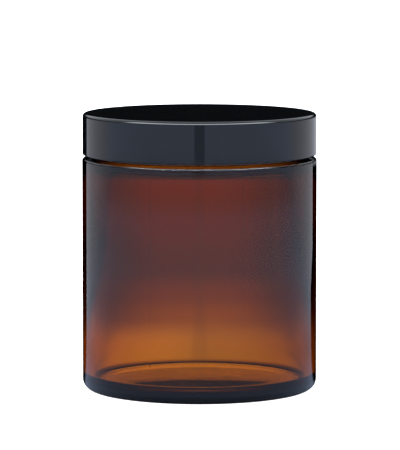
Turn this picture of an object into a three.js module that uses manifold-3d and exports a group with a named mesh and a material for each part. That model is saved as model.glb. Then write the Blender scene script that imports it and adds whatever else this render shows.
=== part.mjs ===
// A straight-sided cream jar: a thick glass jar with a threaded neck, a smooth black screw lid of
// the same outer diameter, and the two-layer sealing wad that is pressed into the lid.
//
// Millimetres, +Z up. The origin is the centre of the circle that the jar stands on. The lid is
// screwed down, with the wad resting on the rim of the neck.
import * as THREE from 'three';
import { mergeVertices } from 'three/addons/utils/BufferGeometryUtils.js';
import Module from 'manifold-3d';

const wasm = await Module();
wasm.setup();

// Whole object. Every turned surface has the same number of sides.
const JAR_RADIUS = 30;
const OVERALL_HEIGHT = 71;
const SIDES = 64;

// Glass jar, from the base up
const GLASS_WALL = 2.8;
const HEEL_RADIUS = 2.8;
const BEARING_RING_WIDTH = 3.6;
const PUSH_UP = 0.2;
const FLOOR_EDGE_Z = 2.8;
const FLOOR_CROWN = 0.6;
const FLOOR_CORNER_RADIUS = 1.8;
const SHOULDER_Z = 59.5;
const SHOULDER_RADIUS = 0.6;
const INNER_SHOULDER_Z = 56.5;
const NECK_RADIUS = 27;
const NECK_FILLET = 0.4;
const MOUTH_RADIUS = 25;
const RIM_Z = 68.4;
const RIM_OUTER_ROUND = 0.8;
const RIM_INNER_ROUND = 0.6;

// Lid and wad
const LID_RADIUS = 29.9;
const LID_HEIGHT = 10.6;
const LID_EDGE_RADIUS = 0.8;
const LID_INNER_RADIUS = 28.8;
const LIP_CHAMFER = 0.3;
const WAD_RADIUS = 28.6;
const WAD_EDGE = 0.15;
const WAD_FACING_THICKNESS = 0.2;
const WAD_CORE_THICKNESS = 0.9;
const WAD_BEAD_DEPTH = 0.5;
const WAD_BEAD_HEIGHT = 0.8;
const WAD_BEAD_GAP = 0.2;

// Right-hand screw thread, six to the inch. The lid's ridge follows the neck's, and hooks under it.
// Each ridge has its crest's radius, half its width where it is sunk in the wall and at its crest,
// and the side of the turned wall that it starts from.
const THREAD_PITCH = 25.4 / 6;
const THREAD_START_Z = 62.2;
const THREAD_OFFSET = 1.6;
const THREAD_SIDES = 70;
const THREAD_SINK = 0.5;
const THREAD_BURIED = 0.2;
const RUN_OUT_SIDES = 7;
const NECK_THREAD = { root: NECK_RADIUS, crest: 28.5, base: 1.1, tip: 0.45, firstSide: 0 };
const LID_THREAD = { root: LID_INNER_RADIUS, crest: 27.35, base: 0.95, tip: 0.4, firstSide: 21 };

// Places that follow from the dimensions above
const LID_BOTTOM_Z = OVERALL_HEIGHT - LID_HEIGHT;
const WAD_CORE_Z = RIM_Z + WAD_FACING_THICKNESS;
const LID_CEILING_Z = WAD_CORE_Z + WAD_CORE_THICKNESS;
const INNER_RADIUS = JAR_RADIUS - GLASS_WALL;
const BEARING_RING_INNER = JAR_RADIUS - HEEL_RADIUS - BEARING_RING_WIDTH;

const amberGlass = new THREE.MeshStandardMaterial({ color: 0x7a3d12, roughness: 0.05, metalness: 0 });
const blackPlastic = new THREE.MeshStandardMaterial({ color: 0x0c0d0f, roughness: 0.12, metalness: 0 });
const whiteFoam = new THREE.MeshStandardMaterial({ color: 0xe9e7e0, roughness: 0.9, metalness: 0 });
const greyFilm = new THREE.MeshStandardMaterial({ color: 0x414142, roughness: 0.3, metalness: 0 });

// Points on an arc round (r, z), between two angles in degrees, with both ends
function arc(r, z, radius, from, to, steps) {
  const points = [];
  for (let i = 0; i <= steps; i += 1) {
    const angle = THREE.MathUtils.degToRad(THREE.MathUtils.lerp(from, to, i / steps));
    points.push([r + radius * Math.cos(angle), z + radius * Math.sin(angle)]);
  }
  return points;
}

// A shallow dome, from just inside its edge to the axis
function dome(edgeRadius, edgeZ, rise, steps) {
  const points = [];
  for (let i = 1; i <= steps; i += 1) {
    const share = 1 - i / steps;
    points.push([edgeRadius * share, edgeZ + rise * (1 - share ** 2)]);
  }
  return points;
}

// Turns a profile of [radius, height] pairs round the Z axis. The profile runs counter-clockwise:
// out along the underside, up the outside, and back to the axis along the top.
function turned(profile) {
  const points = profile.map(([r, z]) => new THREE.Vector2(r, z));
  return new THREE.LatheGeometry(points, SIDES).rotateX(Math.PI / 2);
}

function toSolid(geometry) {
  const bare = geometry.clone();
  bare.deleteAttribute('normal');
  bare.deleteAttribute('uv');
  const merged = mergeVertices(bare, 1e-4);
  const vertProperties = new Float32Array(merged.getAttribute('position').array);
  const triVerts = new Uint32Array(merged.getIndex().array);
  return new wasm.Manifold(new wasm.Mesh({ numProp: 3, vertProperties, triVerts }));
}

function toGeometry(solid) {
  const { vertProperties, triVerts } = solid.getMesh();
  const geometry = new THREE.BufferGeometry();
  geometry.setAttribute('position', new THREE.BufferAttribute(vertProperties, 3));
  geometry.setIndex(new THREE.BufferAttribute(triVerts, 1));
  geometry.computeVertexNormals();
  return geometry;
}

function joined(geometryA, geometryB) {
  return toGeometry(toSolid(geometryA).add(toSolid(geometryB)));
}

// The trapezoid section of a thread, with x as the radius and y as the height
function threadSection({ root, crest, base, tip }) {
  const sunk = root - Math.sign(crest - root) * THREAD_SINK;
  const section = new THREE.Shape();
  section.moveTo(sunk, -base);
  section.lineTo(crest, -tip);
  section.lineTo(crest, tip);
  section.lineTo(sunk, base);
  section.closePath();
  return section;
}

// A ridge of thread: its section is extruded straight, with one step to each side of the turned
// wall, and then wound round the neck. Towards both ends its crest sinks into the wall.
function threadRidge(thread, startZ) {
  const options = { depth: THREAD_SIDES, steps: THREAD_SIDES, bevelEnabled: false };
  const ridge = new THREE.ExtrudeGeometry(threadSection(thread), options);
  const outward = Math.sign(thread.crest - thread.root);
  const position = ridge.getAttribute('position');
  for (let i = 0; i < position.count; i += 1) {
    const side = THREAD_SIDES - position.getZ(i);
    const share = Math.min(1, side / RUN_OUT_SIDES, (THREAD_SIDES - side) / RUN_OUT_SIDES);
    const proud = (position.getX(i) - thread.root) * outward;
    const height = proud < 0 ? proud : THREE.MathUtils.lerp(-THREAD_BURIED, proud, share);
    const radius = thread.root + outward * height;
    const turns = (thread.firstSide + side) / SIDES;
    const angle = turns * 2 * Math.PI;
    const z = startZ + THREAD_PITCH * turns + position.getY(i);
    position.setXYZ(i, radius * Math.cos(angle), radius * Math.sin(angle), z);
  }
  return ridge;
}

// The inside of the shoulder is an S of two arcs, as deep as the mouth is narrower than the body
function innerShoulder() {
  const radius = INNER_RADIUS - MOUTH_RADIUS;
  const rise = 2 * radius * Math.sin(Math.PI / 3);
  return [
    ...arc(INNER_RADIUS, INNER_SHOULDER_Z + rise, radius, 180, 240, 4),
    ...arc(MOUTH_RADIUS, INNER_SHOULDER_Z, radius, 60, 0, 4).slice(1),
  ];
}

// The domed underside, the flat ring that the jar stands on and the rounded heel
function baseProfile() {
  return [
    ...dome(BEARING_RING_INNER, 0, PUSH_UP, 4).reverse(),
    [BEARING_RING_INNER, 0],
    ...arc(JAR_RADIUS - HEEL_RADIUS, HEEL_RADIUS, HEEL_RADIUS, -90, 0, 6),
  ];
}

// The rounded shoulder, and the neck with a fillet at its foot and a level land on its rim
function shoulderAndNeckProfile() {
  const neckFoot = NECK_RADIUS + NECK_FILLET;
  return [
    ...arc(JAR_RADIUS - SHOULDER_RADIUS, SHOULDER_Z - SHOULDER_RADIUS, SHOULDER_RADIUS, 0, 90, 4),
    ...arc(neckFoot, SHOULDER_Z + NECK_FILLET, NECK_FILLET, 270, 180, 3),
    ...arc(NECK_RADIUS - RIM_OUTER_ROUND, RIM_Z - RIM_OUTER_ROUND, RIM_OUTER_ROUND, 0, 90, 3),
    ...arc(MOUTH_RADIUS + RIM_INNER_ROUND, RIM_Z - RIM_INNER_ROUND, RIM_INNER_ROUND, 90, 180, 3),
  ];
}

function insideProfile() {
  const cornerInset = INNER_RADIUS - FLOOR_CORNER_RADIUS;
  const cornerZ = FLOOR_EDGE_Z + FLOOR_CORNER_RADIUS;
  return [
    ...innerShoulder(),
    ...arc(cornerInset, cornerZ, FLOOR_CORNER_RADIUS, 0, -90, 5),
    ...dome(cornerInset, FLOOR_EDGE_Z, FLOOR_CROWN, 3),
  ];
}

function glassJar() {
  const body = turned([...baseProfile(), ...shoulderAndNeckProfile(), ...insideProfile()]);
  const jar = new THREE.Mesh(joined(body, threadRidge(NECK_THREAD, THREAD_START_Z)), amberGlass);
  jar.name = 'glass_jar';
  return jar;
}

// A low bead inside the lid, just under the wad, that keeps the wad from falling out
function wadBead() {
  const top = RIM_Z - WAD_BEAD_GAP;
  const crest = LID_INNER_RADIUS - WAD_BEAD_DEPTH;
  const middle = top - WAD_BEAD_HEIGHT / 2;
  return [
    [LID_INNER_RADIUS, top],
    [crest, middle + WAD_BEAD_GAP / 2],
    [crest, middle - WAD_BEAD_GAP / 2],
    [LID_INNER_RADIUS, top - WAD_BEAD_HEIGHT],
  ];
}

function screwLid() {
  const edge = LID_RADIUS - LID_EDGE_RADIUS;
  const shell = turned([
    [0, LID_CEILING_Z],
    [LID_INNER_RADIUS, LID_CEILING_Z],
    ...wadBead(),
    [LID_INNER_RADIUS, LID_BOTTOM_Z + LIP_CHAMFER],
    [LID_INNER_RADIUS + LIP_CHAMFER, LID_BOTTOM_Z],
    [LID_RADIUS - LIP_CHAMFER, LID_BOTTOM_Z],
    [LID_RADIUS, LID_BOTTOM_Z + LIP_CHAMFER],
    ...arc(edge, OVERALL_HEIGHT - LID_EDGE_RADIUS, LID_EDGE_RADIUS, 0, 90, 4),
    [0, OVERALL_HEIGHT],
  ]);
  const ridge = threadRidge(LID_THREAD, THREAD_START_Z - THREAD_OFFSET);
  const lid = new THREE.Mesh(joined(shell, ridge), blackPlastic);
  lid.name = 'screw_lid';
  return lid;
}

// A disc with a small chamfer round its lower edge, standing on its own z = 0
function disc(radius, thickness, chamfer) {
  return turned([
    [0, 0],
    [radius - chamfer, 0],
    [radius, chamfer],
    [radius, thickness],
    [0, thickness],
  ]);
}

function wad() {
  const core = new THREE.Mesh(disc(WAD_RADIUS, WAD_CORE_THICKNESS, WAD_EDGE), whiteFoam);
  core.name = 'wad_core';
  core.position.z = WAD_CORE_Z;
  const facing = new THREE.Mesh(disc(WAD_RADIUS, WAD_FACING_THICKNESS, WAD_EDGE), greyFilm);
  facing.name = 'wad_facing';
  facing.position.z = RIM_Z;
  const group = new THREE.Group();
  group.add(core, facing);
  return group;
}

const creamJar = new THREE.Group();
creamJar.add(glassJar(), screwLid(), wad());

export default creamJar;
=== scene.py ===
# %% [markdown]
# A cream jar is only four pieces: a thick amber glass jar, a black screw lid of the same width,
# and the two layers of the wad that is pressed into the lid to seal it. The sizes and the places
# were settled in a plain solid model first. This lesson loads that model, and makes each of its
# pieces again with fine edges, true threads and real finishes, without changing a single size.

# %% Load the plain model
import math
import bmesh
import bpy
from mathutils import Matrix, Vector


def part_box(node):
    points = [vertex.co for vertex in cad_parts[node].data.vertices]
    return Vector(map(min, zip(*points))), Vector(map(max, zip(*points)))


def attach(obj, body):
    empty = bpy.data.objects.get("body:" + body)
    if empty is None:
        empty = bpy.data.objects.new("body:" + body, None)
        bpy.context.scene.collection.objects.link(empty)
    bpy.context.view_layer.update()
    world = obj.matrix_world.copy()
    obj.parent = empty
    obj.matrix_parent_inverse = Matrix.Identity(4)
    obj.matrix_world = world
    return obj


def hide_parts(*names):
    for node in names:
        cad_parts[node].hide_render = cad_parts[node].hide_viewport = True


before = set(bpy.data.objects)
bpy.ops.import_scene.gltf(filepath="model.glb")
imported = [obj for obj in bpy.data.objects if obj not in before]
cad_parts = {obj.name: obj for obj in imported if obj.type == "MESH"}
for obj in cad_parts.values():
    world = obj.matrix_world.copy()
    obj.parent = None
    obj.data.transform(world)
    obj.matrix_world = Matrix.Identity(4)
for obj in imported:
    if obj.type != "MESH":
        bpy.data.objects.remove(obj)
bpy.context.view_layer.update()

# %% [markdown]
# Everything that follows is worked out from the boxes round the plain pieces, so nothing can end
# up beside its neighbour. Only what a box can't tell, such as a wall's thickness, is written here
# again. Blender counts in metres, and a millimetre is a thousandth of that.

# %% Sizes of the jar
MM = 0.001
jar_low, jar_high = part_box("glass_jar")
lid_low, lid_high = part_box("screw_lid")
film_low, film_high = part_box("wad_facing")
foam_low, foam_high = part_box("wad_core")

JAR_RADIUS = (jar_high.x - jar_low.x) / 2
RIM_Z = jar_high.z
GLASS_WALL = 2.8 * MM
INNER_RADIUS = JAR_RADIUS - GLASS_WALL
HEEL_ROUND = 2.8 * MM
STAND_RING = 3.6 * MM
STAND_RADIUS = JAR_RADIUS - HEEL_ROUND - STAND_RING
PUSH_UP = 0.2 * MM
FLOOR_Z = 2.8 * MM
FLOOR_CROWN = 0.6 * MM
FLOOR_ROUND = 1.8 * MM
SHOULDER_Z = 59.5 * MM
SHOULDER_ROUND = 0.6 * MM
INNER_SHOULDER_Z = 56.5 * MM
S_SLOPE = math.radians(60)
NECK_RADIUS = 27.0 * MM
NECK_FILLET = 0.4 * MM
MOUTH_RADIUS = 25.0 * MM
RIM_OUTER_ROUND = 0.8 * MM
RIM_INNER_ROUND = 0.6 * MM
print("glass jar: radius", round(JAR_RADIUS / MM, 2), "mm, rim at", round(RIM_Z / MM, 2), "mm")

# %% Sizes of the lid and its wad
LID_RADIUS = (lid_high.x - lid_low.x) / 2
LID_INNER = 28.8 * MM
LID_EDGE_ROUND = 0.8 * MM
LIP_CHAMFER = 0.3 * MM
CEILING_Z = foam_high.z
BEAD_DEPTH = 0.5 * MM
BEAD_HEIGHT = 0.8 * MM
BEAD_GAP = 0.2 * MM
WAD_RADIUS = (foam_high.x - foam_low.x) / 2
THREAD_PITCH = 25.4 / 6 * MM
THREAD_START_Z = 62.2 * MM
THREAD_TURNS = 70 / 64
LID_THREAD_FIRST_TURN = 21 / 64
LID_THREAD_OFFSET = 1.6 * MM
print("lid: radius", round(LID_RADIUS / MM, 2), "mm, height", round((lid_high.z - lid_low.z) / MM, 2))

# %% [markdown]
# The camera comes first, because every choice after it is judged through it. It stands far away,
# with a long lens, a little above the lid, so that the jar's sides stay straight and the lid's top
# shows as a thin ellipse.

# %% Camera
CAMERA_DISTANCE = 32 * JAR_RADIUS
CAMERA_HEIGHT = 4.93 * JAR_RADIUS
CAMERA_PITCH = 0.1119
LENS = 301.6
SHIFT = (0.0011, 0.0182)

camera_data = bpy.data.cameras.new("camera")
camera = bpy.data.objects.new("camera", camera_data)
bpy.context.scene.collection.objects.link(camera)
camera.location = (0, -CAMERA_DISTANCE, CAMERA_HEIGHT)
camera.rotation_euler = (math.pi / 2 - CAMERA_PITCH, 0, 0)
camera_data.lens = LENS
camera_data.shift_x, camera_data.shift_y = SHIFT
camera_data.clip_start = 0.05
camera_data.clip_end = 20
bpy.context.scene.camera = camera
print("camera:", round(CAMERA_DISTANCE, 3), "m away and", round(CAMERA_HEIGHT, 3), "m up")

# %% [markdown]
# A jar and a lid are both turned shapes. On a potter's wheel a wall is drawn up ring by ring, and
# the same works in edit mode: a small disc is extruded, and each new ring is stretched to its
# radius and lifted to its height. The outline is then a short list of radius and height, and each
# right-angled corner in it is rounded afterwards with Bevel. A spin of half an outline would give
# the same shape, but with a seam to merge and normals to mend.

# %% Draw a turned shape up from its outline
SIDES = 256


def deselect_all():
    """Leave nothing selected, so that the next tool acts on the next piece only."""
    bpy.ops.object.select_all(action="DESELECT")


def draw_up(name, outline):
    """Turn an outline of (radius, height) pairs into a closed solid with a pole at both ends."""
    deselect_all()
    radius, height = outline[0]
    bpy.ops.mesh.primitive_circle_add(vertices=SIDES, radius=radius, fill_type="NGON")
    piece = bpy.context.object
    piece.name = name
    bpy.ops.object.mode_set(mode="EDIT")
    bpy.ops.transform.translate(value=(0, 0, height))
    for next_radius, next_height in outline[1:]:
        rise = next_height - height
        stretch = next_radius / radius
        bpy.ops.mesh.extrude_region_move(TRANSFORM_OT_translate={"value": (0, 0, rise)})
        bpy.ops.transform.resize(value=(stretch, stretch, 1), center_override=(0, 0, 0))
        radius, height = next_radius, next_height
    close_pole(piece, outline[-1])
    close_pole(piece, outline[0])
    bpy.ops.mesh.select_all(action="SELECT")
    bpy.ops.mesh.normals_make_consistent(inside=False)
    return piece


def select_where(piece, kind, test):
    """In edit mode, select the vertices, edges or faces whose own places pass the test."""
    bpy.ops.mesh.select_mode(type=kind)
    bpy.ops.mesh.select_all(action="DESELECT")
    mesh = bmesh.from_edit_mesh(piece.data)
    items = {"VERT": mesh.verts, "EDGE": mesh.edges, "FACE": mesh.faces}[kind]
    chosen = 0
    for item in items:
        points = [item.co] if kind == "VERT" else [vertex.co for vertex in item.verts]
        if test(points):
            item.select_set(True)
            chosen += 1
    mesh.select_flush_mode()
    bmesh.update_edit_mesh(piece.data)
    return chosen


def on_ring(radius, height, slack=0.01 * MM):
    """A test for points that lie on one ring of a turned shape."""
    def test(points):
        return all(
            abs(math.hypot(p.x, p.y) - radius) < slack and abs(p.z - height) < slack
            for p in points
        )
    return test


def close_pole(piece, ring):
    """Draw the last small ring together into one point on the axis."""
    select_where(piece, "VERT", on_ring(*ring))
    bpy.ops.mesh.merge(type="CENTER")


def round_ring(piece, radius, height, size, segments):
    """Round the corner that runs round the piece at this radius and height."""
    select_where(piece, "EDGE", on_ring(radius, height))
    bpy.ops.mesh.bevel(offset=size, segments=segments, affect="EDGES", clamp_overlap=False)


# %% [markdown]
# The glass jar is pressed and blown in a mould. Its underside is pushed up in the middle so that
# it stands on a flat ring, the heel and the shoulder are rounded because hot glass won't fill a
# sharp corner, and inside the shoulder the wall flows in an easy S to the narrower mouth.

# %% Draw up the glass
POLE = 0.6 * MM


def dome(edge_radius, edge_z, rise, rings):
    """Rings of a shallow dome, from its pole out to just inside its edge."""
    shares = [POLE / edge_radius] + [ring / rings for ring in range(1, rings)]
    return [(edge_radius * s, edge_z + rise * (1 - s * s)) for s in shares]


s_radius = (INNER_RADIUS - MOUTH_RADIUS) / (2 - 2 * math.cos(S_SLOPE))
s_tangent = s_radius * math.tan(S_SLOPE / 2)
s_round = 0.96 * s_tangent
S_LOW_Z = INNER_SHOULDER_Z + s_tangent
S_HIGH_Z = INNER_SHOULDER_Z + 2 * s_radius * math.sin(S_SLOPE) - s_tangent
wall_rings = [FLOOR_Z + FLOOR_ROUND + 2 * MM * step for step in range(1, 24)]

jar_outline = [
    *dome(STAND_RADIUS, 0, PUSH_UP, 10),
    (STAND_RADIUS, 0),
    (STAND_RADIUS + 0.8 * MM, 0),
    (STAND_RADIUS + 2.8 * MM, 0),
    (JAR_RADIUS, 0),
    (JAR_RADIUS, SHOULDER_Z),
    (NECK_RADIUS, SHOULDER_Z),
    (NECK_RADIUS, RIM_Z),
    (MOUTH_RADIUS, RIM_Z),
    (MOUTH_RADIUS, S_HIGH_Z),
    (INNER_RADIUS, S_LOW_Z),
    *[(INNER_RADIUS, z) for z in reversed(wall_rings)],
    (INNER_RADIUS, FLOOR_Z),
    *reversed(dome(INNER_RADIUS - FLOOR_ROUND, FLOOR_Z, FLOOR_CROWN, 8)),
]
jar = draw_up("amber_jar", jar_outline)
print("jar drawn up in", len(jar_outline), "rings")

# %% Round its corners
round_ring(jar, JAR_RADIUS, 0, HEEL_ROUND, 10)
round_ring(jar, JAR_RADIUS, SHOULDER_Z, SHOULDER_ROUND, 7)
round_ring(jar, NECK_RADIUS, SHOULDER_Z, NECK_FILLET, 5)
round_ring(jar, NECK_RADIUS, RIM_Z, RIM_OUTER_ROUND, 5)
round_ring(jar, MOUTH_RADIUS, RIM_Z, RIM_INNER_ROUND, 5)
round_ring(jar, MOUTH_RADIUS, S_HIGH_Z, s_round, 6)
round_ring(jar, INNER_RADIUS, S_LOW_Z, s_round, 6)
round_ring(jar, INNER_RADIUS, FLOOR_Z, FLOOR_ROUND, 10)
print("jar has", len(bmesh.from_edit_mesh(jar.data).faces), "faces")

# %% [markdown]
# A mould opens in two halves, and leaves a fine seam down opposite sides of the glass. Bisect cuts
# three lines close together, straight through the jar, and the middle one is pushed out a hair.
# The seam fades towards the heel, where the glass was hottest and flowed smooth again.

# %% Mould seam
SEAM_ANGLE = math.radians(-115)
SEAM_HALF_WIDTH = 0.22 * MM
SEAM_HEIGHT = 0.05 * MM
seam_out = Vector((math.cos(SEAM_ANGLE), math.sin(SEAM_ANGLE), 0))
seam_across = Vector((-seam_out.y, seam_out.x, 0))

for offset in (-SEAM_HALF_WIDTH, 0, SEAM_HALF_WIDTH):
    bpy.ops.mesh.select_all(action="SELECT")
    bpy.ops.mesh.bisect(plane_co=seam_across * offset, plane_no=seam_across)


def seam_vertices(side):
    """A test for the outer vertices on one of the two seams, from the heel up to the rim."""
    def test(points):
        place = points[0]
        outside = math.hypot(place.x, place.y) > NECK_RADIUS - 0.3 * MM
        on_line = abs(place.dot(seam_across)) < 0.02 * MM and place.dot(seam_out) * side > 0
        body = math.hypot(place.x, place.y) > INNER_RADIUS + 1 * MM
        return on_line and outside and (body or place.z > SHOULDER_Z) and place.z > 2 * MM
    return test


for side in (1, -1):
    found = select_where(jar, "VERT", seam_vertices(side))
    bpy.ops.transform.translate(value=seam_out * side * SEAM_HEIGHT)
    print("seam raised at", found, "points")

# %% [markdown]
# The ring that the jar stands on is stippled, so that it slides on the conveyor and the polished
# part of the glass never touches it. Every second face of the ring is inset and pressed in.

# %% Stipple the stand ring
STIPPLE_DEPTH = 0.12 * MM
STIPPLE_INSET = 0.12 * MM


def stipple_faces(points):
    """A test for every second face of the middle band of the stand ring."""
    radii = [math.hypot(p.x, p.y) for p in points]
    low, high = STAND_RADIUS + 0.7 * MM, STAND_RADIUS + 2.9 * MM
    if max(abs(p.z) for p in points) > 0.001 * MM or min(radii) < low or max(radii) > high:
        return False
    middle = sum(points, Vector()) / len(points)
    step = round((math.atan2(middle.y, middle.x) / (2 * math.pi)) * SIDES - 0.5)
    return step % 2 == 0 and len(points) == 4


found = select_where(jar, "FACE", stipple_faces)
bpy.ops.mesh.inset(thickness=STIPPLE_INSET, depth=0, use_individual=True)
bpy.ops.transform.translate(value=(0, 0, STIPPLE_DEPTH))
print("stippled", found, "faces")
bpy.ops.object.mode_set(mode="OBJECT")

# %% [markdown]
# A screw thread is one small trapezoid that climbs round the neck. It starts as a flat plane stood
# on its edge beside the wall, with its crest narrowed and its corners rounded. It is then extruded
# one step at a time, and each step turns it a little and lifts it by the pitch. At both ends it
# grows out of the wall and sinks back into it, as a real thread does.

# %% Wind a thread
RUN_OUT = 0.11


def wind_thread(name, root, crest, base, tip, first_turn, start_z):
    """A ridge from the wall's radius (root) to its crest, wound up once round and a little more."""
    sunk = root - math.copysign(0.5 * MM, crest - root)
    deselect_all()
    bpy.ops.mesh.primitive_plane_add(size=1)
    ridge = bpy.context.object
    ridge.name = name
    bpy.ops.object.mode_set(mode="EDIT")
    bpy.ops.transform.rotate(value=math.pi / 2, orient_axis="X", center_override=(0, 0, 0))
    bpy.ops.transform.resize(value=(abs(crest - sunk), 1, 2 * base), center_override=(0, 0, 0))
    bpy.ops.transform.translate(value=((crest + sunk) / 2, 0, 0))
    select_where(ridge, "VERT", lambda points: abs(points[0].x - crest) < 0.01 * MM)
    bpy.ops.transform.resize(value=(1, 1, tip / base), center_override=(0, 0, 0))
    bpy.ops.mesh.bevel(offset=0.28 * MM, segments=3, affect="VERTICES")
    bpy.ops.mesh.select_all(action="SELECT")
    turn_and_lift(first_turn, start_z + THREAD_PITCH * first_turn)
    steps = round(THREAD_TURNS * SIDES)
    share = grow(0)
    shrink_to_root(share, root, first_turn, start_z)
    for step in range(1, steps + 1):
        turn = first_turn + step / SIDES
        bpy.ops.mesh.extrude_region_move(TRANSFORM_OT_translate={"value": (0, 0, 0)})
        turn_and_lift(1 / SIDES, THREAD_PITCH / SIDES)
        next_share = grow(min(step, steps - step) / steps)
        if next_share != share:
            shrink_to_root(next_share / share, root, turn, start_z)
        share = next_share
    bpy.ops.mesh.select_all(action="SELECT")
    bpy.ops.mesh.normals_make_consistent(inside=False)
    bpy.ops.object.mode_set(mode="OBJECT")
    print(name, "wound in", steps, "steps")
    return ridge


def turn_and_lift(turns, rise):
    """Turn what is selected round the jar's axis, counter-clockwise from above, and lift it."""
    angle = -2 * math.pi * turns
    bpy.ops.transform.rotate(value=angle, orient_axis="Z", center_override=(0, 0, 0))
    bpy.ops.transform.translate(value=(0, 0, rise))


def grow(distance):
    """How much of its full size the ridge has, at this share of its length from its end."""
    x = min(1, distance / RUN_OUT)
    return 0.12 + 0.88 * x * x * (3 - 2 * x)


def shrink_to_root(ratio, root, turn, start_z):
    """Scale what is selected towards the point where the ridge grows from the wall."""
    angle = 2 * math.pi * turn
    foot = (root * math.cos(angle), root * math.sin(angle), start_z + THREAD_PITCH * turn)
    bpy.ops.transform.resize(value=(ratio, ratio, ratio), center_override=foot)


# %% [markdown]
# The ridge and the wall have to be one piece of glass, because light bends at every surface it
# meets, and a buried surface inside the wall would show. A Boolean modifier joins the two.

# %% Join a ridge to its wall
def join_to(piece, ridge):
    """Join the ridge to the piece as one closed solid, and remove the ridge's own object."""
    deselect_all()
    bpy.context.view_layer.objects.active = piece
    piece.select_set(True)
    joint = piece.modifiers.new("join thread", "BOOLEAN")
    joint.operation = "UNION"
    joint.solver = "EXACT"
    joint.object = ridge
    bpy.ops.object.modifier_apply(modifier=joint.name)
    bpy.data.objects.remove(ridge)


def shade(piece, degrees):
    """Smooth shading, where the large faces stay true and the small ones between them bend."""
    deselect_all()
    piece.select_set(True)
    bpy.context.view_layer.objects.active = piece
    bpy.ops.object.shade_smooth_by_angle(angle=math.radians(degrees))
    weighted = piece.modifiers.new("true flats", "WEIGHTED_NORMAL")
    weighted.mode = "FACE_AREA"
    weighted.weight = 100
    weighted.keep_sharp = True
    bpy.ops.object.modifier_apply(modifier=weighted.name)


def report(piece):
    """Print how many faces a piece has, how many of its edges are open, and its volume."""
    mesh = bmesh.new()
    mesh.from_mesh(piece.data)
    open_edges = sum(1 for edge in mesh.edges if not edge.is_manifold)
    volume = mesh.calc_volume(signed=True) * 1e6
    print(piece.name, len(mesh.faces), "faces,", open_edges, "open edges,", round(volume, 3), "cm3")
    mesh.free()


neck_thread = wind_thread(
    "neck_thread", NECK_RADIUS, 28.5 * MM, 1.1 * MM, 0.45 * MM,
    0, THREAD_START_Z,
)
join_to(jar, neck_thread)
shade(jar, 40)
report(jar)

# %% [markdown]
# The lid is moulded in black plastic in one shot: a flat top, a straight skirt, and a thread of
# its own inside that hooks under the one on the glass. Above the thread a low bead keeps the wad
# from dropping out. The edge of the top is rounded just enough to catch a line of light, and the
# top itself is sunk a hair in the middle, as plastic is when it shrinks in the mould.

# %% Draw up the lid
lid_bottom, lid_top = lid_low.z, lid_high.z
bead_top = RIM_Z - BEAD_GAP
bead_middle = bead_top - BEAD_HEIGHT / 2
TOP_DISH = 0.15 * MM
TOP_STEPS = (0, 0.15, 0.3, 0.45, 0.6, 0.75, 0.9)
top_reach = LID_RADIUS - LID_EDGE_ROUND - 0.2 * MM
top_rings = [(POLE + top_reach * s, s) for s in TOP_STEPS]
lid_outline = [
    (POLE, CEILING_Z),
    (LID_INNER / 2, CEILING_Z),
    (LID_INNER, CEILING_Z),
    (LID_INNER, bead_top),
    (LID_INNER - BEAD_DEPTH, bead_middle),
    (LID_INNER, bead_top - BEAD_HEIGHT),
    (LID_INNER, lid_bottom),
    (LID_RADIUS, lid_bottom),
    (LID_RADIUS, lid_top),
    *[(r, lid_top - TOP_DISH * (1 - s * s)) for r, s in reversed(top_rings)],
]
lid = draw_up("black_lid", lid_outline)
round_ring(lid, LID_RADIUS, lid_top, LID_EDGE_ROUND, 8)
round_ring(lid, LID_RADIUS, lid_bottom, LIP_CHAMFER, 4)
round_ring(lid, LID_INNER, lid_bottom, LIP_CHAMFER, 4)
round_ring(lid, LID_INNER - BEAD_DEPTH, bead_middle, 0.2 * MM, 4)
bpy.ops.object.mode_set(mode="OBJECT")

lid_thread = wind_thread(
    "lid_thread", LID_INNER, 27.35 * MM, 0.95 * MM, 0.4 * MM,
    LID_THREAD_FIRST_TURN, THREAD_START_Z - LID_THREAD_OFFSET,
)
join_to(lid, lid_thread)
shade(lid, 40)
report(lid)

# %% [markdown]
# The wad is two layers: soft white foam that pushes back, and a thin grey film that faces the
# cream. The jar's rim has pressed its ring into the film, which is how a used wad is recognised.
# Both discs are drawn up like the rest, with a dent in the film where the rim sits.

# %% Draw up the wad
RIM_DENT = 0.05 * MM
DENT_EDGE = 0.25 * MM
FILM_ROUND = 0.08 * MM
FOAM_ROUND = 0.1 * MM
FOAM_WAIST = 0.12 * MM
RIM_SIT = (MOUTH_RADIUS + 0.4 * MM, NECK_RADIUS - 0.5 * MM)

film = draw_up("wad_film", [
    (POLE, film_low.z),
    (RIM_SIT[0] - DENT_EDGE, film_low.z),
    (RIM_SIT[0], film_low.z + RIM_DENT),
    (RIM_SIT[1], film_low.z + RIM_DENT),
    (RIM_SIT[1] + DENT_EDGE, film_low.z),
    (WAD_RADIUS, film_low.z),
    (WAD_RADIUS, film_high.z),
    (POLE, film_high.z),
])
round_ring(film, WAD_RADIUS, film_low.z, FILM_ROUND, 3)
bpy.ops.object.mode_set(mode="OBJECT")
shade(film, 40)
report(film)

foam = draw_up("wad_foam", [
    (POLE, foam_low.z),
    (WAD_RADIUS, foam_low.z),
    (WAD_RADIUS - FOAM_WAIST, (foam_low.z + foam_high.z) / 2),
    (WAD_RADIUS, foam_high.z),
    (POLE, foam_high.z),
])
round_ring(foam, WAD_RADIUS, foam_low.z, FOAM_ROUND, 3)
round_ring(foam, WAD_RADIUS, foam_high.z, FOAM_ROUND, 3)
bpy.ops.object.mode_set(mode="OBJECT")
shade(foam, 40)
report(foam)

# %% [markdown]
# Materials are graphs of nodes, and sums in a graph are tedious to wire by hand. A small class
# wraps a socket, so that a sum is written as a sum. Everything that isn't a sum comes from one
# method, which takes the kind of node, its settings, and what goes into its sockets.

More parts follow.
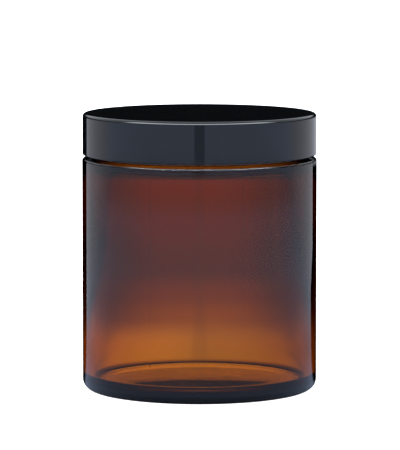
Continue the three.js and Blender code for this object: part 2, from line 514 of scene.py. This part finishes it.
# %% A helper for materials
class Wire:
    """The output of a node, which can be added, multiplied and so on with numbers and wires."""

    def __init__(self, graph, socket):
        self.graph = graph
        self.socket = socket

    def maths(self, operation, first, second):
        return self.graph.node("ShaderNodeMath", {"operation": operation}, {0: first, 1: second})

    def __add__(self, other):
        return self.maths("ADD", self, other)

    def __sub__(self, other):
        return self.maths("SUBTRACT", self, other)

    def __mul__(self, other):
        return self.maths("MULTIPLY", self, other)

    def __rsub__(self, other):
        return self.maths("SUBTRACT", other, self)

    __radd__ = __add__
    __rmul__ = __mul__


class Graph:
    """The nodes of one material or of the world."""

    def __init__(self, owner):
        owner.use_nodes = True
        self.owner = owner
        self.tree = owner.node_tree
        self.tree.nodes.clear()

    def node(self, kind, settings=None, inputs=None, output=0):
        new = self.tree.nodes.new(kind)
        for name, value in (settings or {}).items():
            if name == "stops":
                self.set_stops(new.color_ramp, value)
            else:
                setattr(new, name, value)
        for name, value in (inputs or {}).items():
            if isinstance(value, Wire):
                self.tree.links.new(value.socket, new.inputs[name])
            else:
                new.inputs[name].default_value = value
        return Wire(self, new.outputs[output]) if new.outputs else new

    def set_stops(self, ramp, stops):
        """Give a colour ramp these stops, each a place from 0 to 1 and a colour."""
        ramp.interpolation = "EASE"
        for _ in range(len(stops) - 2):
            ramp.elements.new(0.5)
        for element, (place, colour) in zip(ramp.elements, stops):
            element.position = place
            element.color = (*colour, 1)

    def smooth(self, value, low, high, to_low=0.0, to_high=1.0):
        """Rise smoothly from one value to another while the wire goes from low to high."""
        inputs = {"Value": value, 1: low, 2: high, 3: to_low, 4: to_high}
        return self.node("ShaderNodeMapRange", {"interpolation_type": "SMOOTHSTEP"}, inputs)

    def maths_root(self, value):
        """The square root of a wire."""
        return self.node("ShaderNodeMath", {"operation": "SQRT"}, {0: value})

    def place(self):
        """The point on the surface, in metres."""
        return self.node("ShaderNodeTexCoord", output=3)

    def axes(self, vector):
        """The three numbers of a vector, as three wires."""
        split = self.node("ShaderNodeSeparateXYZ", inputs={0: vector})
        outputs = split.socket.node.outputs
        return [Wire(self, outputs[axis]) for axis in range(3)]

    def noise(self, place, scale, detail=2.0, roughness=0.5):
        inputs = {"Vector": place, "Scale": scale, "Detail": detail, "Roughness": roughness}
        return self.node("ShaderNodeTexNoise", None, inputs)

    def bump(self, height, distance):
        inputs = {"Height": height, "Distance": distance, "Strength": 1.0}
        return self.node("ShaderNodeBump", None, inputs)

    def stretched(self, place, scale):
        """The place, stretched along its axes."""
        return self.node("ShaderNodeMapping", None, {"Vector": place, "Scale": scale})


def finish_with(graph, inputs, volume=None):
    """End a material in one Principled shader, with a volume behind it if there is one."""
    surface = graph.node("ShaderNodeBsdfPrincipled", None, inputs)
    ends = {"Surface": surface}
    if volume is not None:
        ends["Volume"] = volume
    graph.node("ShaderNodeOutputMaterial", None, ends)
    return graph.owner


def give(piece, material, slot, body, node):
    """Give a finished piece its material and the body it rides on, hide the plain part it stands for,
    and print its slot's name.
    """
    piece.data.materials.clear()
    piece.data.materials.append(material)
    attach(piece, body)
    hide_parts(node)
    print(piece.name, "has", len(material.node_tree.nodes), "nodes of", slot, "and rides on", body)


# %% [markdown]
# Amber glass has no colour on its surface. Iron, sulphur and carbon in the melt swallow nearly all
# the blue light and most of the green on the way through, so a thin wall looks honey coloured and
# a thick base nearly black. That is volume absorption: the shader's surface stays clear, and the
# volume takes its share of each colour for every millimetre. The surface itself is fire polished,
# with the long, lazy waves that a mould leaves, and a little handling haze.

# %% Amber glass
glass = Graph(bpy.data.materials.new("amber_glass"))
glass_place = glass.place()
lazy_waves = glass.noise(glass.stretched(glass_place, (1, 1, 0.35)), 70, 1.0)
fine_waves = glass.noise(glass_place, 260, 0.0)
glass_relief = glass.bump(lazy_waves + fine_waves * 0.02, 0.012 * MM)
haze = glass.smooth(glass.noise(glass_place, 130, 4.0), 0.45, 0.75, 0.0, 0.02)
melt = glass.node(
    "ShaderNodeVolumeAbsorption", None, {"Color": (0.891, 0.672, 0.075, 1), "Density": 1200}
)
amber_glass = finish_with(glass, {
    "Base Color": (1, 1, 1, 1),
    "Roughness": haze,
    "IOR": 1.5,
    "Transmission Weight": 1.0,
    "Normal": glass_relief,
}, melt)
give(jar, amber_glass, "amber_glass", "jar", "glass_jar")

# %% [markdown]
# The lid is glossy black plastic, so almost all that shows of it is what it reflects. What tells
# plastic from lacquer is that the reflection isn't perfect: the surface has a very slight orange
# peel, and here and there it is a shade duller, where it was handled.

# %% Black plastic
plastic = Graph(bpy.data.materials.new("black_plastic"))
plastic_place = plastic.place()
peel = plastic.noise(plastic_place, 700, 2.0)
sink = plastic.noise(plastic_place, 60, 1.0)
plastic_relief = plastic.bump(peel * 0.04 + sink, 0.02 * MM)
handled = plastic.smooth(plastic.noise(plastic_place, 220, 5.0, 0.6), 0.4, 0.75, 0.045, 0.085)
tint = plastic.node("ShaderNodeMix", {"data_type": "RGBA"}, {
    0: plastic.noise(plastic_place, 150, 3.0),
    6: (0.0008, 0.0010, 0.0014, 1),
    7: (0.0018, 0.0021, 0.0027, 1),
}, output=2)
black_plastic = finish_with(plastic, {
    "Base Color": tint,
    "Roughness": handled,
    "IOR": 1.5,
    "Normal": plastic_relief,
})
give(lid, black_plastic, "black_plastic", "lid", "screw_lid")

# %% [markdown]
# The foam is closed-cell, so its cut edge and its back are a field of tiny round cells. The film is
# smooth and faintly wrinkled, because it is stretched over something soft.

# %% Foam and film
cells = Graph(bpy.data.materials.new("white_foam"))
cells_place = cells.place()
cell = cells.node("ShaderNodeTexVoronoi", None, {"Vector": cells_place, "Scale": 5200})
# The grooves between the cells are painted darker than the cell middles: painted shade in the
# grooves.
painted_groove_shade = cells.node("ShaderNodeMix", {"data_type": "RGBA"}, {
    0: cells.smooth(cell, 0.0, 0.7),
    6: (0.86, 0.85, 0.81, 1),
    7: (0.66, 0.65, 0.61, 1),
}, output=2)
white_foam = finish_with(cells, {
    "Base Color": painted_groove_shade,
    "Roughness": cells.smooth(cell, 0.0, 0.8, 0.75, 0.95),
    "Normal": cells.bump(1 - cell, 0.04 * MM),
})
give(foam, white_foam, "white_foam", "wad", "wad_core")

sheet = Graph(bpy.data.materials.new("grey_film"))
sheet_place = sheet.place()
wrinkle = sheet.noise(sheet_place, 260, 3.0)
film_shade = sheet.node("ShaderNodeMix", {"data_type": "RGBA"}, {
    0: sheet.noise(sheet_place, 90, 3.0),
    6: (0.060, 0.060, 0.062, 1),
    7: (0.045, 0.045, 0.047, 1),
}, output=2)
grey_film = finish_with(sheet, {
    "Base Color": film_shade,
    "Roughness": sheet.smooth(wrinkle, 0.3, 0.7, 0.24, 0.36),
    "Normal": sheet.bump(wrinkle, 0.02 * MM),
})
give(film, grey_film, "grey_film", "wad", "wad_facing")

# %% [markdown]
# Glass and gloss show little but what surrounds them, so it is the surroundings that are lit and
# not the jar. The jar stands on a sheet that shines a cool white, and its upright sides mirror that
# sheet. Behind the jar the sheet falls off to a dim brown, which shows through the upper glass, and
# two black flags stand close behind it, one on each side, which draw the thin dark outline that
# parts glass from a white background. Cards that only mirror rays see and cards that only rays
# through the glass see let each effect be set by itself. The camera itself sees only white.

# %% Helpers for the studio
scene = bpy.context.scene
scene.view_settings.view_transform = "Standard"


def stage_card(name, size, height, material, camera=False, mirrored=False, seen_through=False):
    """A level card at this height that only some kinds of light ray meet."""
    deselect_all()
    bpy.ops.mesh.primitive_plane_add(size=size, location=(0, 0, height))
    card = bpy.context.object
    card.name = name
    card.data.materials.append(material)
    card.visible_camera = camera
    card.visible_diffuse = camera
    card.visible_glossy = mirrored
    card.visible_transmission = seen_through
    card.visible_volume_scatter = False
    card.visible_shadow = False
    print(name, "card is", round(size, 3), "m wide, at a height of", round(height / MM, 2), "mm")
    return card


def shine(graph, colour, strength, opening=None):
    """End a stage material in light of its own, with nothing there where it has an opening."""
    glow = graph.node("ShaderNodeEmission", None, {"Color": colour, "Strength": strength})
    if opening is not None:
        gone = graph.node("ShaderNodeBsdfTransparent")
        glow = graph.node("ShaderNodeMixShader", None, {0: opening, 1: glow, 2: gone})
    graph.node("ShaderNodeOutputMaterial", None, {"Surface": glow})
    return graph.owner


def ground(graph):
    """Wires for x, for y, for the distance from the jar's axis and for the distance from x = 0."""
    x, y, z = graph.axes(graph.node("ShaderNodeNewGeometry", output=0))
    distance = graph.maths_root(x * x + y * y)
    return x, y, distance, graph.node("ShaderNodeMath", {"operation": "ABSOLUTE"}, {0: x})


# %% Floor that the camera sees
paper = Graph(bpy.data.materials.new("floor_paper"))
paper_glow = paper.node("ShaderNodeEmission", None, {"Color": (1, 1, 1, 1), "Strength": 0.92})
paper_matt = paper.node("ShaderNodeBsdfDiffuse", None, {"Color": (0.8, 0.8, 0.8, 1)})
paper_both = paper.node("ShaderNodeAddShader", None, {0: paper_glow, 1: paper_matt})
paper.node("ShaderNodeOutputMaterial", None, {"Surface": paper_both})
stage_card("floor", 6, -0.02 * MM, paper.owner, camera=True)

# %% [markdown]
# The sides are upright, so what they mirror is the sheet around the jar. Its light is a ramp by
# distance from the jar's axis, black under the foot, which is a painted contact shadow. A flag is
# only a place where the sheet is black: it begins behind the jar and widens with distance, so each
# side mirrors a dark line at its very edge. A dimmer slot in front gives the lid its narrow line
# down the middle.

# %% Sheet that the sides mirror
# The painted contact shadow round the foot stays dark out to this distance from the axis.
FOOT_SHADOW_EDGE = JAR_RADIUS + 1 * MM
FLAG_SLOPE = math.tan(math.radians(33))
SLOT_SLOPE = math.tan(math.radians(4.9))
SLOT_DIMMING = 0.54

mirror = Graph(bpy.data.materials.new("mirrored_sheet"))
mirror_x, mirror_y, mirror_far, mirror_aside = ground(mirror)
# The sheet is black under the foot and lifts within 2 mm of its edge: a painted contact shadow.
sheet_light = mirror.node("ShaderNodeValToRGB", {"stops": [
    (0.000, (0.0, 0.0, 0.0)),
    (0.030, (0.0, 0.0, 0.0)),
    (0.032, (0.40, 0.49, 0.70)),
    (0.050, (0.38, 0.46, 0.66)),
    (0.094, (0.30, 0.36, 0.48)),
    (0.185, (0.48, 0.57, 0.78)),
    (0.300, (0.62, 0.73, 1.00)),
    (0.430, (0.60, 0.70, 0.95)),
    (0.560, (0.42, 0.47, 0.58)),
    (0.700, (0.62, 0.73, 1.00)),
]}, {0: mirror_far})
behind_jar = mirror.smooth(mirror_y, 0.0, 0.25)
sheet_light = mirror.node("ShaderNodeMix", {"data_type": "RGBA"}, {
    0: behind_jar,
    6: sheet_light,
    7: (0.68, 0.71, 0.80, 1),
}, output=2)
near_right = mirror.smooth(mirror_x, 0.0, 0.02) * mirror.smooth(mirror_far, 0.35, 0.2)
flag_slope = FLAG_SLOPE + near_right * 0.17
past_flag = mirror_aside - JAR_RADIUS - mirror_y * flag_slope
flag = 1 - mirror.smooth(past_flag, -4 * MM, 4 * MM)
right_flag_ends = mirror.smooth(mirror_far, 0.62, 0.66) * mirror.smooth(mirror_x, 0.0, 0.02)
flag = flag * (1 - right_flag_ends) * mirror.smooth(mirror_y, -4 * MM, 4 * MM)
slot_edge = mirror_aside + mirror_y * SLOT_SLOPE
slot = mirror.smooth(slot_edge, 8 * MM, -8 * MM) * mirror.smooth(mirror_y, -0.60, -0.66)
sheet_level = (1 - flag) * (1 - slot * SLOT_DIMMING)
mirror_glow = shine(mirror, sheet_light, sheet_level)
stage_card("mirrored_sheet", 4, -0.5 * MM, mirror_glow, mirrored=True)

# %% [markdown]
# What shows through the glass is the sheet behind the jar, so that one has a ramp by distance
# behind: pale near the foot, then brown, and black far away where the neck looks. It is dimmed
# towards both sides, because the glass of a round jar looks deeper there.

# %% Sheet that shows through the glass
through = Graph(bpy.data.materials.new("sheet_behind"))
through_x, through_y, through_far, through_aside = ground(through)
behind_light = through.node("ShaderNodeValToRGB", {"stops": [
    (0.000, (0.60, 0.98, 0.82)),
    (0.030, (0.66, 0.84, 0.90)),
    (0.045, (0.72, 0.93, 0.92)),
    (0.085, (0.74, 0.88, 0.86)),
    (0.140, (0.46, 0.38, 0.34)),
    (0.190, (0.28, 0.16, 0.12)),
    (0.250, (0.13, 0.052, 0.045)),
    (0.400, (0.19, 0.050, 0.026)),
    (0.555, (0.25, 0.063, 0.016)),
    (0.595, (0.07, 0.010, 0.003)),
    (0.640, (0.0, 0.0, 0.0)),
]}, {0: through_y})
spread = through_aside - through_y * 0.058
dim = through.smooth(spread, 0.0, 42 * MM) * 0.68
dim = dim + through.smooth(spread, 42 * MM, 110 * MM) * 0.30
dim = dim * through.smooth(through_y, 0.065, 0.150)
dim = dim * through.smooth(through_y, 0.42, 0.30, 0.6, 1.0)
# Painted shade: behind the jar the sheet is up to 28 percent darker towards the right.
right_dim = through.smooth(through_x, 8 * MM, 50 * MM) * 0.28
right_dim = right_dim * through.smooth(through_y, 0.03, 0.07)
# A painted shadow: the sheet is 15 percent darker in a narrow stripe straight behind the jar.
middle = through.smooth(through_aside, 3.4 * MM, 1.4 * MM) * through.smooth(through_y, 0.0, 0.05)
# Painted light: nearer the jar the sheet is up to 30 percent brighter towards the left.
brighter_left = through.smooth(through_x, 4 * MM, -14 * MM) * through.smooth(through_y, 0.14, 0.09)
# Out to a millimetre past the foot the sheet is dark, and it lifts over the next 6 mm: a painted
# contact shadow round the foot.
outside_foot_shadow = through.smooth(through_far, FOOT_SHADOW_EDGE, FOOT_SHADOW_EDGE + 6 * MM)
edge_dim = through.smooth(spread, 24 * MM, 38 * MM) * 0.3
edge_dim = edge_dim * through.smooth(through_y, 0.14, 0.09)
behind_level = (1 - dim) * (1 - edge_dim) * (1 - right_dim)
behind_level = behind_level * (1 - middle * 0.15) * (1 + brighter_left * 0.3) * outside_foot_shadow
open_foot = through.smooth(through_far, JAR_RADIUS - 1 * MM, JAR_RADIUS - 1.5 * MM)
behind_glow = shine(through, behind_light, behind_level, open_foot)
stage_card("sheet_behind", 4, -0.05 * MM, behind_glow, seen_through=True)

# %% [markdown]
# The thick foot bends light so far that it shows what lies below the sheet. A lit curtain hangs
# there, just behind the jar, and the sheet has a round opening under the foot for it to show
# through. The light from it fills the back of the foot, and the front half of the floor stays dark.

# %% Curtain under the foot
CURTAIN_Y = JAR_RADIUS + 3 * MM
CURTAIN_SIZE = 80 * MM
PIT_Z = -30 * MM

curtain = Graph(bpy.data.materials.new("foot_curtain"))
curtain_z = curtain.axes(curtain.node("ShaderNodeNewGeometry", output=0))[2]
curtain_level = curtain.smooth(curtain_z, -8.0 * MM, -7.0 * MM) * 2.7
shine(curtain, (0.60, 0.95, 0.84, 1), curtain_level)
hang = stage_card("foot_curtain", CURTAIN_SIZE, -40.2 * MM, curtain.owner, seen_through=True)
hang.rotation_euler = (math.pi / 2, 0, 0)
hang.location.y = CURTAIN_Y

pit = Graph(bpy.data.materials.new("pit_floor"))
pit_glow = shine(pit, (0.6, 0.7, 0.8, 1), 0.12)
stage_card("pit_floor", 66 * MM, PIT_Z, pit_glow, seen_through=True)

# %% [markdown]
# Above the sheet is a white tent. It is open behind the jar near the horizon, where the room is
# black, and that is what the flat top of the lid mirrors. A lamp in front of the jar and above it
# makes that part of the tent brighter, which gives the rounded edges their line of light.

# %% White tent
LAMP_LEVEL = 12.0

tent = Graph(bpy.data.worlds.new("tent"))
scene.world = tent.owner
light_path = tent.node("ShaderNodeLightPath")
camera_ray = Wire(tent, light_path.socket.node.outputs["Is Camera Ray"])
diffuse_ray = Wire(tent, light_path.socket.node.outputs["Is Diffuse Ray"])
through_ray = Wire(tent, light_path.socket.node.outputs["Is Transmission Ray"])
_, tent_y, tent_z = tent.axes(tent.node("ShaderNodeTexCoord", output=0))
dome_level = tent.smooth(tent_z, 0.16, 0.30, 0.004, 1.0)
low_level = tent.smooth(tent_y, -0.1, -0.3)
lamp_band = tent.smooth(tent_z, 0.30, 0.45) * tent.smooth(tent_z, 0.80, 0.60)
overhead = lamp_band * tent.smooth(tent_y, 0.0, -0.3) * LAMP_LEVEL
mirrored_level = dome_level * (1 - low_level) + low_level * 0.8
mirrored_level = mirrored_level * (1 - through_ray * tent.smooth(tent_y, 0.0, 0.2))
mirrored_level = mirrored_level + overhead * (1 - through_ray)
tent_level = mirrored_level * (1 - diffuse_ray) + diffuse_ray * 0.6
tent_light = tent.node("ShaderNodeBackground", None, {
    "Color": (0.86, 0.93, 1.0, 1),
    "Strength": tent_level,
})
white = tent.node("ShaderNodeBackground", None, {"Color": (1, 1, 1, 1), "Strength": 1.0})
tent_end = tent.node("ShaderNodeMixShader", None, {0: camera_ray, 1: tent_light, 2: white})
tent.node("ShaderNodeOutputWorld", None, {"Surface": tent_end})
print("tent has", len(tent.tree.nodes), "nodes")
